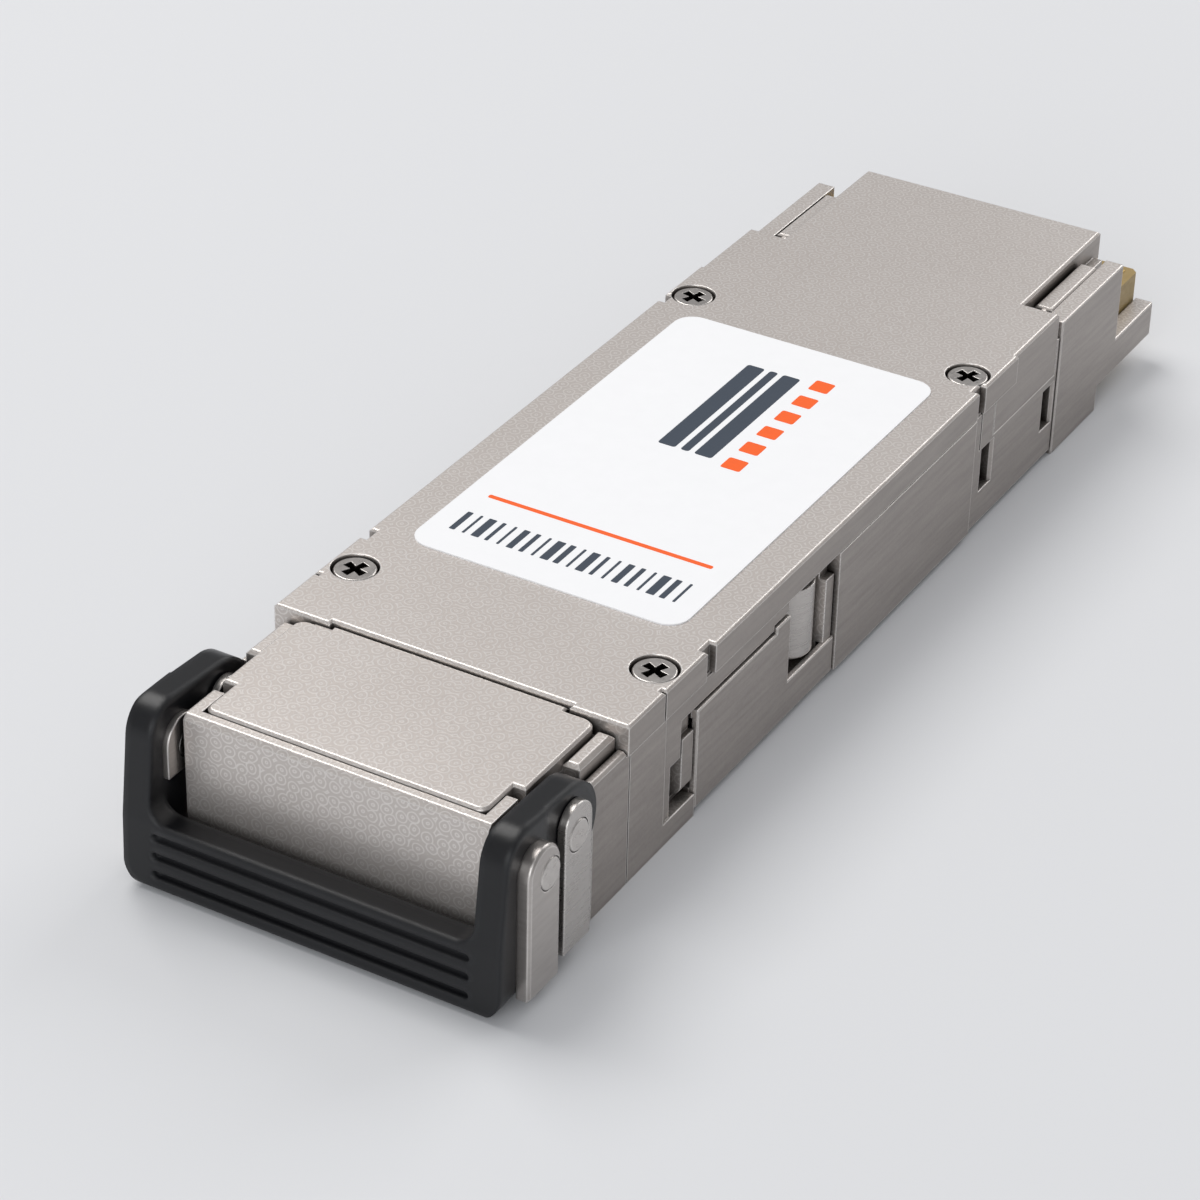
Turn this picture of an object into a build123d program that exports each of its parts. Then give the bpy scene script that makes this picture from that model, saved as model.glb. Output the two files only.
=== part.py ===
"""QSFP loopback module: die-cast housing, cover, latch slider, bail handle and looped card."""

import os

from build123d import *

os.makedirs("parts", exist_ok=True)

# Frame: X across, Y from the cover's front edge towards the card, Z up from the underside.

# Overall form
module_width = 18.35
module_height = 8.5
cover_thickness = 1.55
belly_inset = 0.575
skin_lift = 0.35
edge_bevel = 0.12
seam = 0.08

# Sections along the module, each counted from the one ahead of it
front_section = 6.05
latch_section = 13.55
label_section = 14.8
rear_section = 10.2
rear_block = 7.7
prong_length = 5.0
belly_step = 2.1

# How far each side face stands inside the module's width
front_inset = 0.075
strip_inset = 0.2
rear_inset = 0.125
block_inset = 0.025
block_bevel = 0.06

# Housing walls
cavity_wall = 0.8
cavity_front = 1.2
floor_thickness = 1.3
rear_block_drop = 0.65
rear_wall = 1.0
prong_bottom = 1.45
prong_top = 3.4

# Nose box
nose_length = 9.25
nose_wall = 0.55
nose_front_wall = 0.65
nose_bottom = 1.4
nose_floor = 0.8
nose_top_drop = 0.3
nose_side_end = 6.95
nose_bevel = 0.25

# Nose cover
nose_cover_drop = 0.15
nose_cover_thickness = 0.8
nose_cover_front_gap = 0.05
nose_cover_step = 6.3
nose_cover_side_gap = 0.6
nose_cover_rear_gap = 0.12
nose_cover_corner = 0.6
nose_cover_nose_corner = 0.45
key_tab_width = 1.2
key_tab_x = 6.9
key_tab_drop = 0.1

# Brows of the top cover over the lugs
brow_length = 0.25
brow_width = 3.0
brow_gap = 0.17

# Cheeks and guide lugs beside the nose
cheek_length = 3.1
cheek_thickness = 0.42
cheek_rise = 0.25
cheek_bevel = 0.15
lug_front = 3.35
lug_rear = 0.42
lug_gap = 0.12
lug_rise = 1.05
lug_bevel = 0.2
lug_taper = 45

# Latch channel in each side
channel_depth = 1.1
channel_bottom = 1.4
channel_roof = 1.75
head_room = 2.2
side_cover_thickness = 0.3
side_cover_drop = 1.3
side_cover_bevel = 0.06
strip_gap = 0.18
tab_length = 1.35
tab_rise = 0.3
tab_gap = 0.1

# Front window
window_length = 2.85
window_bottom = 1.2
jamb_width = 0.7
key_block_bottom = 3.87
key_block_gap = 0.15
post_width = 1.0
post_gap = 0.1
post_bottom = 1.65
post_top = 4.72
post_depth = 0.57

# Latch window
latch_window_bottom = 2.3
latch_window_reach = 0.5
stop_post_width = 0.75
stop_post_gap = 0.2
stop_post_depth = 0.42
stop_post_top_drop = 1.15

# Rear windows, blind pockets in the side walls
pocket_depth = 0.85
pocket_bevel = 0.15
notch_sill = 4.75
mid_pocket_front = 1.1
mid_pocket_length = 1.35
mid_pocket_bottom = 2.2
mid_pocket_top = 4.7
rear_pocket_front = 1.7
rear_pocket_length = 1.3
rear_pocket_bottom = 2.1
rear_pocket_top = 4.5

# Top cover
cover_end = 44.2
slit_width = 0.12
slit_depth = 0.25
notch_width = 0.8
notch_depth = 0.35
front_slit_y = 2.95
front_notch_y = 7.05
rear_flange_length = 3.75
skirt_start = 36.85
skirt_height = 2.05
skirt_thickness = 0.7
tongue_half = 7.0
tongue_end = 54.0
rail_width = 1.0
rail_gap = 0.1
rail_start = 45.5
rail_end = 51.2
rail_rise = 0.95
rail_web_rise = 0.35
foot_width = 0.55
foot_end = 53.2

# Cover screws
screw_inset = 1.33
screw_front_y = 4.26
screw_rear_y = 35.8
screw_head_radius = 1.02
screw_head_height = 0.62
screw_seat_depth = 0.7
screw_seat_gap = 0.13
screw_shank_radius = 0.55
screw_length = 3.05
screw_hole_gap = 0.02
recess_span = 1.25
recess_width = 0.34
recess_flare = 0.12
recess_angle = 82
recess_depth = 0.5
recess_turn = -20

# Label
label_inset = 1.975
label_front = 7.45
label_length = 26.3
label_thickness = 0.08
label_corner = 1.5

# Bail handle
bail_front = 11.5
bar_lean = 0.15
bail_lean = 0.85
bail_bottom = 0.1
bail_rise = 0.5
arm_thickness = 1.35
tail_thickness = 1.25
tail_start = 7.6
leg_rear = 7.7
bar_depth = 1.4
bar_height = 3.55
arm_gap = 0.1
pivot_y = -5.72
pivot_drop = 2.0
tail_radius = 2.2
shoulder_radius = 1.6
leg_corner = 1.0
bail_corner = 1.2
opening_corner = 1.0
bail_edge_round = 0.35
grip_half = 8.1
grip_width = 0.42
grip_depth = 0.45
grip_pitch = 0.95
grip_first_z = 1.0
grip_count = 3

# Bail side plates, backing plates and rivets
strap_thickness = 0.65
strap_half_width = 1.22
strap_y = -8.87
strap_bottom = 0.6
strap_top_drop = 0.6
strap_bevel = 0.12
backing_drop = 1.16
backing_thickness = 0.3
rivet_y = -8.5
rivet_drop = 2.14
pin_radius = 0.76
pin_fit = 0.03
pin_running_gap = 0.07
rivet_stand = 0.04

# Latch slider
slider_stock = 0.35
slider_gap = 0.1
slider_bottom = 0.8
slider_arm_bottom = 1.6
slider_arm_drop = 0.5
slider_step_y = 5.0
spring_tunnel_top = 2.9
ear_half_width = 1.08
ear_rise = 1.6
ear_gap = 0.05
ear_thickness = 0.4
head_length = 3.15
head_gap = 0.1
head_bottom = 2.6
head_top_gap = 0.35
barrel_back = 1.35
barrel_half_width = 1.25
barrel_top_drop = 0.65
barrel_inset = 0.225

# Return springs
spring_stop_front = 0.55
spring_stop_length = 0.8
spring_length = 4.0
spring_tab_length = 0.5
spring_radius = 0.36
spring_wire = 0.16
spring_turns = 3
spring_seat_gap = 0.03

# Card and what it carries
card_side_gap = 0.1
card_front_gap = 0.2
card_step_y = 45.6
card_start = 3.0
card_end = 57.45
card_bottom = 3.1
card_thickness = 1.9
card_corner = 0.3
ledge_width = 0.9
ledge_start = 8.0
ledge_end = 33.0
peg_radius = 0.5
peg_gap = 0.05
peg_y = 6.8
pad_pitch = 0.8
pad_width = 0.54
pad_length = 1.8
pad_thickness = 0.04
pad_end_margin = 0.45
pad_side_margin = 0.5
memory_width = 3.0
memory_length = 4.4
memory_height = 1.0
memory_x = -3.4
memory_y = 13.0
control_side = 5.0
control_height = 0.9
control_x = 2.4
control_y = 14.5
capacitor_width = 0.5
capacitor_length = 1.0
capacitor_height = 0.5
capacitor_count = 8
capacitor_pitch = 1.5
capacitor_y = 41.0
resistor_width = 3.2
resistor_length = 1.6
resistor_height = 0.55
resistor_columns = 2
resistor_rows = 3
resistor_pitch_x = 4.2
resistor_pitch_y = 2.6
resistor_y = 25.5
pad_margin = 0.6

# Places across the module that follow from those above
half_width = module_width / 2
front_x = half_width - front_inset
core_x = front_x - side_cover_thickness
strip_x = half_width - strip_inset
rear_x = half_width - rear_inset
block_x = half_width - block_inset
belly_x = half_width - belly_inset
block_inner_x = block_x - rear_wall
channel_x = core_x - channel_depth
nose_half = channel_x
cavity_half = channel_x - cavity_wall
cheek_inner_x = front_x - cheek_thickness
slider_x = channel_x + slider_gap
slider_outer_x = slider_x + slider_stock
arm_inner_x = slider_outer_x + arm_gap
bail_half = arm_inner_x + arm_thickness
tail_x = arm_inner_x + tail_thickness
ear_x = tail_x + ear_gap
screw_x = half_width - screw_inset
label_half = half_width - label_inset
card_half = block_inner_x - card_side_gap
pad_count = int(2 * (card_half - pad_side_margin) / pad_pitch) + 1
card_front_half = cavity_half - card_front_gap
peg_x = card_front_half - peg_radius - ledge_width / 2
barrel_x = half_width - barrel_inset

# Places along the module
nose_cover_front = nose_length - nose_front_wall - nose_cover_front_gap
front_section_end = front_section
latch_section_end = front_section_end + latch_section
label_section_end = latch_section_end + label_section
rear_section_end = label_section_end + rear_section
rear_block_end = rear_section_end + rear_block
prong_end = rear_block_end + prong_length
belly_end = rear_block_end - belly_step
rear_notch_y = label_section_end + notch_width / 2
rear_flange_start = label_section_end + notch_width
window_start = front_section_end - window_length
post_end = front_section_end - post_gap
post_start = post_end - post_width
key_block_end = post_start - key_block_gap
stop_post_end = latch_section_end - stop_post_gap
stop_post_start = stop_post_end - stop_post_width
head_end = stop_post_start - head_gap
head_start = head_end - head_length
barrel_y = head_end - barrel_back
latch_window_start = head_start - latch_window_reach
tab_start = latch_window_start - tab_length
strip_end = tab_start - tab_gap
spring_stop_start = front_section_end + spring_stop_front
spring_stop_end = spring_stop_start + spring_stop_length
spring_tab_y = spring_stop_end + spring_length
mid_pocket_start = label_section_end + mid_pocket_front
rear_pocket_start = rear_section_end - rear_pocket_front

# Heights
seat_z = module_height - cover_thickness
rear_block_height = module_height - rear_block_drop
nose_top = module_height - nose_top_drop
nose_cover_height = module_height - nose_cover_drop
nose_seat_z = nose_cover_height - nose_cover_thickness
cheek_height = seat_z + cheek_rise
lug_top = seat_z + lug_rise
channel_top = seat_z - channel_roof
side_cover_top = seat_z - side_cover_drop
skirt_bottom = seat_z - skirt_height
slider_arm_top = channel_top - slider_arm_drop
head_top = seat_z - head_top_gap
barrel_top = seat_z - barrel_top_drop
stop_post_top = seat_z - stop_post_top_drop
pivot_z = module_height - pivot_drop
rivet_z = module_height - rivet_drop
backing_bottom = rivet_z - backing_drop
strap_top = module_height - strap_top_drop
bail_top = module_height + bail_rise
ear_top = pivot_z + ear_rise
card_top = card_bottom + card_thickness
screw_seat_z = module_height - screw_seat_depth
past = 1.0


def side_box(low, high, mode=Mode.ADD):
    """A rectangle on a side plane between two (y, z) corners."""
    with Locations(((low[0] + high[0]) / 2, (low[1] + high[1]) / 2)):
        Rectangle(high[0] - low[0], high[1] - low[1], mode=mode)


def plan_box(low, high):
    """A rectangle on a level plane between two (x, y) corners."""
    with Locations(((low[0] + high[0]) / 2, (low[1] + high[1]) / 2)):
        Rectangle(high[0] - low[0], high[1] - low[1])


def write(piece, name):
    """Label a finished piece and store it under the same name."""
    piece.label = name
    export_step(piece, f"parts/{name}.step")


# Base housing: the right half is made and mirrored
with BuildPart() as base_housing:
    with BuildSketch(Plane.XY):
        plan_box((0, 0), (front_x, front_section_end))
        plan_box((0, front_section_end), (core_x, latch_section_end))
        plan_box((0, latch_section_end), (half_width, label_section_end))
        plan_box((0, label_section_end), (rear_x, rear_section_end))
        plan_box((0, rear_section_end), (block_x, prong_end))
    extrude(amount=module_height)
    # The side outline sets the seat for the cover, the rear block, the prongs and the belly's rear step
    with BuildSketch(Plane.YZ):
        with BuildLine():
            Polyline(
                (0, 0),
                (0, seat_z),
                (rear_section_end, seat_z),
                (rear_section_end, rear_block_height),
                (rear_block_end, rear_block_height),
                (rear_block_end, prong_top),
                (prong_end, prong_top),
                (prong_end, prong_bottom),
                (belly_end, prong_bottom),
                (belly_end, 0),
                close=True,
            )
        make_face()
    extrude(amount=module_width, mode=Mode.INTERSECT)
    rear_block_side = base_housing.faces().filter_by(Axis.X).filter_by(
        lambda f: abs(f.center().X - block_x) < block_inset / 2
    )
    chamfer(rear_block_side.edges(), length=block_bevel)
    # The side skins stop short of the belly between the two feet
    with BuildSketch(Plane.XY):
        plan_box((belly_x, front_section_end), (half_width + past, rear_section_end))
    extrude(amount=skin_lift, mode=Mode.SUBTRACT)
    # Nose box, open on top under its own cover
    with BuildSketch(Plane.XY.offset(nose_bottom)):
        plan_box((0, -nose_length), (nose_half, 0))
    extrude(amount=nose_top - nose_bottom)
    nose_front = base_housing.faces().filter_by(Axis.Y).sort_by(Axis.Y)[0]
    chamfer(nose_front.edges().filter_by(Axis.X), length=nose_bevel)
    with BuildSketch(Plane.XY.offset(nose_bottom + nose_floor)):
        plan_box((0, -nose_length + nose_front_wall), (nose_half - nose_wall, 0))
    extrude(amount=module_height, mode=Mode.SUBTRACT)
    with BuildSketch(Plane.XY.offset(nose_seat_z)):
        plan_box((nose_half - nose_wall - past, -nose_side_end), (nose_half + past, 0))
    extrude(amount=cover_thickness, mode=Mode.SUBTRACT)
    # Belly under the cheeks, and the cheeks with bevelled crests
    with BuildSketch(Plane.XY):
        plan_box((0, -cheek_length), (front_x, 0))
    extrude(amount=channel_bottom)
    with BuildSketch(Plane.XZ.offset(cheek_length)):
        with BuildLine():
            Polyline(
                (cheek_inner_x, 0),
                (cheek_inner_x, cheek_height),
                (front_x - cheek_bevel, cheek_height),
                (front_x, cheek_height - cheek_bevel),
                (front_x, 0),
                close=True,
            )
        make_face()
    extrude(amount=-cheek_length)
    # Room for the cover's brows
    with BuildSketch(Plane.XY.offset(seat_z)):
        plan_box((nose_half - brow_width, -brow_length - seam), (half_width + past, 0))
    extrude(amount=module_height, mode=Mode.SUBTRACT)
    # Guide lug, bevelled on top, between the nose and the cheek
    with BuildSketch(Plane.XY.offset(channel_top)):
        plan_box((nose_half, -lug_front), (cheek_inner_x - lug_gap, -lug_rear))
    extrude(amount=lug_top - lug_bevel - channel_top)
    with BuildSketch(Plane.XY.offset(lug_top - lug_bevel)):
        plan_box((nose_half, -lug_front), (cheek_inner_x - lug_gap, -lug_rear))
    extrude(amount=lug_bevel, taper=lug_taper)
    # Seam down the side where the cheek meets the body
    with BuildSketch(Plane.YZ.offset(front_x - seam)):
        side_box((-seam / 2, 0), (seam / 2, cheek_height))
    extrude(amount=past, mode=Mode.SUBTRACT)
    # Card cavity and the open rear pocket between the side walls
    with BuildSketch(Plane.XY.offset(floor_thickness)):
        plan_box((0, cavity_front), (cavity_half, card_step_y))
    extrude(amount=module_height, mode=Mode.SUBTRACT)
    with BuildSketch(Plane.XY.offset(prong_bottom)):
        plan_box((0, card_step_y - cover_thickness), (block_inner_x, prong_end + past))
    extrude(amount=module_height, mode=Mode.SUBTRACT)
    # Raised strip over the latch channel, notched above the side cover's tab
    with BuildSketch(Plane.YZ.offset(core_x - side_cover_thickness)):
        side_box((front_section_end, side_cover_top + strip_gap), (strip_end, seat_z))
        side_box(
            (strip_end - past, side_cover_top + tab_rise + strip_gap),
            (latch_window_start, seat_z),
        )
    extrude(amount=strip_x - core_x + side_cover_thickness)
    # Latch channel, with head room for the slider's end and a stop for the return spring
    with BuildSketch(Plane.YZ.offset(channel_x)):
        side_box((-cheek_length, channel_bottom), (latch_section_end, channel_top))
        side_box((head_start - head_room, channel_bottom), (latch_section_end, seat_z))
    extrude(amount=cheek_inner_x - channel_x, mode=Mode.SUBTRACT)
    with BuildSketch(Plane.YZ.offset(channel_x)):
        side_box((0, channel_bottom), (latch_section_end, channel_top))
        side_box((latch_window_start, channel_bottom), (latch_section_end, seat_z))
    extrude(amount=channel_depth, mode=Mode.SUBTRACT)
    with BuildSketch(Plane.YZ.offset(channel_x)):
        side_box((spring_stop_start, channel_bottom), (spring_stop_end, spring_tunnel_top - slider_gap))
        side_box((stop_post_start, channel_bottom), (stop_post_end, seat_z))
    extrude(amount=channel_depth - stop_post_depth / 2)
    with BuildSketch(Plane.YZ.offset(strip_x - stop_post_depth)):
        side_box((stop_post_start, latch_window_bottom), (stop_post_end, stop_post_top))
    extrude(amount=stop_post_depth)
    # Front window: a shallow relief, the opening into the channel and the flush block
    with BuildSketch(Plane.YZ.offset(strip_x)):
        side_box((window_start, window_bottom), (front_section_end, seat_z))
    extrude(amount=past, mode=Mode.SUBTRACT)
    with BuildSketch(Plane.YZ.offset(strip_x - post_depth)):
        side_box((window_start + jamb_width, window_bottom), (front_section_end, key_block_bottom))
        side_box((key_block_end, window_bottom), (front_section_end, side_cover_top + strip_gap))
    extrude(amount=past, mode=Mode.SUBTRACT)
    # Round-footed post of the front window, lower in front than behind
    with BuildSketch(Plane.XZ.offset(-post_start)):
        with BuildLine():
            foot = Line((strip_x - post_depth, seat_z), (strip_x - post_depth, post_bottom))
            sole = RadiusArc(foot @ 1, (strip_x, post_bottom + post_depth), -post_depth)
            face = Line(sole @ 1, (strip_x, post_top))
            step = Line(face @ 1, (strip_x - post_depth / 2, post_top))
            back = Line(step @ 1, (strip_x - post_depth / 2, seat_z))
            Line(back @ 1, foot @ 0)
        make_face()
    extrude(amount=-post_width)
    # Blind pockets beside the raised label section and ahead of the rear block, with a bevelled rear edge
    for pocket_start, pocket_length, pocket_bottom, pocket_top in (
        (mid_pocket_start, mid_pocket_length, mid_pocket_bottom, mid_pocket_top),
        (rear_pocket_start, rear_pocket_length, rear_pocket_bottom, rear_pocket_top),
    ):
        with BuildSketch(Plane.XY.offset(pocket_bottom)):
            with BuildLine():
                Polyline(
                    (rear_x - pocket_depth, pocket_start),
                    (rear_x + past, pocket_start),
                    (rear_x + past, pocket_start + pocket_length + pocket_bevel),
                    (rear_x, pocket_start + pocket_length + pocket_bevel),
                    (rear_x - pocket_bevel, pocket_start + pocket_length),
                    (rear_x - pocket_depth, pocket_start + pocket_length),
                    close=True,
                )
            make_face()
        extrude(amount=pocket_top - pocket_bottom, mode=Mode.SUBTRACT)
    # Grooves that mark off the flush block behind the label section and the rear block's front edge
    with BuildSketch(Plane.YZ.offset(rear_x - edge_bevel)):
        side_box((rear_flange_start, notch_sill), (rear_flange_start + edge_bevel, seat_z))
        side_box((skirt_start - seam, skirt_bottom), (skirt_start, seat_z))
        side_box((rear_section_end - edge_bevel, skin_lift), (rear_section_end, seat_z))
    extrude(amount=rear_inset + edge_bevel - block_inset, mode=Mode.SUBTRACT)
    # Room for the cover's rear skirt
    with BuildSketch(Plane.XY.offset(skirt_bottom)):
        plan_box((rear_x - skirt_thickness, skirt_start), (half_width + past, cover_end + seam))
    extrude(amount=module_height, mode=Mode.SUBTRACT)
    # A fine reveal under the cover's edge
    for face_x, start, end in (
        (front_x, 0, front_section_end),
        (strip_x, window_start, latch_window_start),
        (half_width, latch_section_end, label_section_end),
        (rear_x, label_section_end, skirt_start),
    ):
        with BuildSketch(Plane.XY.offset(seat_z - seam)):
            plan_box((face_x - seam, start), (half_width + past, end))
        extrude(amount=seam, mode=Mode.SUBTRACT)
    # Ledges and locating pegs under the card, and the screw holes
    with BuildSketch(Plane.XY.offset(floor_thickness)):
        plan_box((cavity_half - ledge_width, ledge_start), (cavity_half, ledge_end))
        plan_box((peg_x - peg_radius - peg_gap, peg_y - peg_radius), (cavity_half, ledge_start))
    extrude(amount=card_bottom - floor_thickness)
    with BuildSketch(Plane.XY.offset(card_bottom)):
        with Locations((peg_x, peg_y + peg_radius)):
            Circle(peg_radius)
    extrude(amount=card_thickness)
    with Locations(
        (screw_x, screw_front_y, seat_z),
        (screw_x, screw_rear_y, seat_z),
    ):
        Hole(screw_shank_radius + screw_hole_gap, depth=screw_length + screw_seat_depth - cover_thickness)
    mirror(about=Plane.YZ)
write(base_housing.part, "base_housing")

# Top cover: notched plate with two brows, rear tongue with its side rails, and the rear skirts
with BuildPart() as top_cover:
    with BuildSketch(Plane.XY.offset(seat_z)):
        plan_box((0, 0), (half_width, rear_flange_start + rear_flange_length))
        plan_box((0, 0), (rear_x, cover_end))
        plan_box((nose_half - brow_width / 2, -brow_length), (half_width, past))
        with Locations((half_width, front_slit_y)):
            Rectangle(2 * slit_depth, slit_width, mode=Mode.SUBTRACT)
        with Locations((half_width, front_notch_y), (half_width, rear_notch_y)):
            Rectangle(2 * notch_depth, notch_width, mode=Mode.SUBTRACT)
        plan_box((0, 0), (tongue_half, tongue_end))
    extrude(amount=cover_thickness)
    chamfer(top_cover.faces().sort_by(Axis.Z)[-1].outer_wire().edges().filter_by(
        lambda e: e.center().X > edge_bevel), length=edge_bevel)
    with BuildSketch(Plane.XY.offset(skirt_bottom)):
        plan_box((rear_x - skirt_thickness, skirt_start), (rear_x, cover_end))
    extrude(amount=seat_z - skirt_bottom)
    # Side rails of the tongue stand on a low web, with a foot behind
    with BuildSketch(Plane.XY.offset(seat_z)):
        plan_box((tongue_half, rail_start), (tongue_half + rail_gap + rail_width, rail_end))
    extrude(amount=rail_web_rise)
    with BuildSketch(Plane.XY.offset(seat_z)):
        plan_box((tongue_half + rail_gap, rail_start), (tongue_half + rail_gap + rail_width, rail_end))
    extrude(amount=rail_rise - edge_bevel)
    with BuildSketch(Plane.XY.offset(seat_z + rail_rise - edge_bevel)):
        plan_box((tongue_half + rail_gap, rail_start), (tongue_half + rail_gap + rail_width, rail_end))
    extrude(amount=edge_bevel, taper=lug_taper)
    with BuildSketch(Plane.XY.offset(seat_z)):
        plan_box((tongue_half, rail_end), (tongue_half + foot_width, foot_end))
    extrude(amount=rail_web_rise)
    mirror(about=Plane.YZ)
    with Locations(Plane.XY.offset(module_height)):
        with Locations(
            (screw_x, screw_front_y),
            (-screw_x, screw_front_y),
            (screw_x, screw_rear_y),
            (-screw_x, screw_rear_y),
        ):
            CounterBoreHole(
                screw_shank_radius + screw_seat_gap,
                screw_head_radius + screw_seat_gap,
                screw_seat_depth,
                depth=cover_thickness,
            )
write(top_cover.part, "top_cover")

# Nose cover: stepped plate, set back behind the brows, with one key tab
with BuildPart() as nose_cover:
    with BuildSketch(Plane.XY.offset(nose_seat_z)) as nose_plan:
        plan_box((-nose_half, -nose_cover_step), (nose_half, -brow_length - brow_gap))
        fillet(nose_plan.vertices().group_by(Axis.Y)[-1], nose_cover_corner)
        plan_box(
            (-nose_half + brow_width / 2 + brow_gap, -nose_cover_step),
            (nose_half - brow_width / 2 - brow_gap, -nose_cover_rear_gap),
        )
        plan_box(
            (-nose_half + nose_cover_side_gap, -nose_cover_front),
            (nose_half - nose_cover_side_gap, -nose_cover_step),
        )
        fillet(nose_plan.vertices().group_by(Axis.Y)[0], nose_cover_nose_corner)
    extrude(amount=nose_cover_thickness)
    chamfer(nose_cover.faces().sort_by(Axis.Z)[-1].edges(), length=edge_bevel)
    with BuildSketch(Plane.XY.offset(nose_seat_z)):
        plan_box(
            (-key_tab_x, -brow_length - brow_gap - past),
            (-key_tab_x + key_tab_width, -brow_length - brow_gap / 2),
        )
    extrude(amount=nose_cover_thickness - key_tab_drop)
write(nose_cover.part, "nose_cover")

# Side covers: thin plates over the latch channels, cut away at the latch window, with a raised tab
for side, side_name in ((1, "right"), (-1, "left")):
    with BuildPart() as side_cover:
        with BuildSketch(Plane.YZ.offset(core_x)):
            side_box((front_section_end + seam, skin_lift), (latch_section_end - seam, side_cover_top))
            side_box((tab_start, side_cover_top - past), (latch_window_start, side_cover_top + tab_rise))
            side_box(
                (latch_window_start, latch_window_bottom),
                (latch_section_end, side_cover_top + past),
                mode=Mode.SUBTRACT,
            )
        extrude(amount=side_cover_thickness)
        chamfer(side_cover.faces().sort_by(Axis.X)[-1].edges(), length=side_cover_bevel)
        if side < 0:
            mirror(about=Plane.YZ, mode=Mode.REPLACE)
    write(side_cover.part, f"side_cover_{side_name}")

# Cover screws: flat head, crossed recess with flared arms, and plain shank
screw_places = (
    (-screw_x, screw_front_y),
    (screw_x, screw_front_y),
    (-screw_x, screw_rear_y),
    (screw_x, screw_rear_y),
)
for number, place in enumerate(screw_places, start=1):
    with BuildPart() as screw:
        with BuildSketch(Plane.XY.offset(screw_seat_z)):
            with Locations(place):
                Circle(screw_head_radius)
        extrude(amount=screw_head_height)
        chamfer(screw.edges().sort_by(Axis.Z)[-1], length=edge_bevel / 2)
        with BuildSketch(Plane.XY.offset(screw_seat_z)):
            with Locations(place):
                Circle(screw_shank_radius)
        extrude(amount=screw_head_height - screw_length)
        with BuildSketch(Plane.XY.offset(screw_seat_z + screw_head_height)):
            with Locations(place):
                with PolarLocations(recess_span / 4, 4, start_angle=recess_turn):
                    Trapezoid(recess_width + recess_flare, recess_span / 2, recess_angle, rotation=90)
        extrude(amount=-recess_depth, mode=Mode.SUBTRACT)
    write(screw.part, f"cover_screw_{number}")

# Label on the cover
with BuildPart() as label:
    with BuildSketch(Plane.XY.offset(module_height)):
        with Locations((0, label_front + label_length / 2)):
            RectangleRounded(2 * label_half, label_length, label_corner)
    extrude(amount=label_thickness)
write(label.part, "label")

# Bail handle: a U seen from the front, trimmed by its side outline; the right half is mirrored
with BuildPart() as bail_handle:
    with BuildSketch(Plane.XZ):
        with BuildLine():
            FilletPolyline(
                (0, bail_bottom),
                (bail_half, bail_bottom),
                (bail_half, bail_top),
                (arm_inner_x, bail_top),
                (arm_inner_x, bar_height),
                (0, bar_height),
                radius=[bail_corner, bail_edge_round, bail_edge_round, opening_corner],
            )
            Line((0, bar_height), (0, bail_bottom))
        make_face()
    extrude(amount=bail_front)
    with BuildSketch(Plane.YZ):
        with BuildLine():
            leg = FilletPolyline(
                (pivot_y, pivot_z - tail_radius),
                (-leg_rear, pivot_z - tail_radius),
                (-leg_rear, bail_bottom),
                (-bail_front, bail_bottom),
                (-bail_front + bar_lean, bar_height),
                (-bail_front + bail_lean, bail_top),
                (pivot_y, pivot_z + tail_radius),
                radius=[leg_corner, bail_edge_round, bail_edge_round, opening_corner, shoulder_radius],
            )
            ThreePointArc(leg @ 1, (pivot_y + tail_radius, pivot_z), leg @ 0)
        make_face()
    extrude(amount=bail_half, mode=Mode.INTERSECT)
    with BuildSketch(Plane.XY):
        plan_box((0, -bail_front + bar_depth), (arm_inner_x, 0))
        plan_box((tail_x, -tail_start), (bail_half + past, 0))
    extrude(amount=module_height + past, mode=Mode.SUBTRACT)
    with BuildSketch(Plane.YZ):
        with Locations((pivot_y, pivot_z)):
            Circle(pin_radius + pin_running_gap)
        with Locations((rivet_y, rivet_z)):
            Circle(pin_radius + pin_fit)
    extrude(amount=bail_half, mode=Mode.SUBTRACT)
    mirror(about=Plane.YZ)
    with BuildSketch(Plane.XZ.offset(bail_front)):
        with Locations(*[(0, grip_first_z + row * grip_pitch) for row in range(grip_count)]):
            SlotOverall(2 * grip_half, grip_width)
    extrude(amount=-grip_depth, mode=Mode.SUBTRACT)
write(bail_handle.part, "bail_handle")

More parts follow.
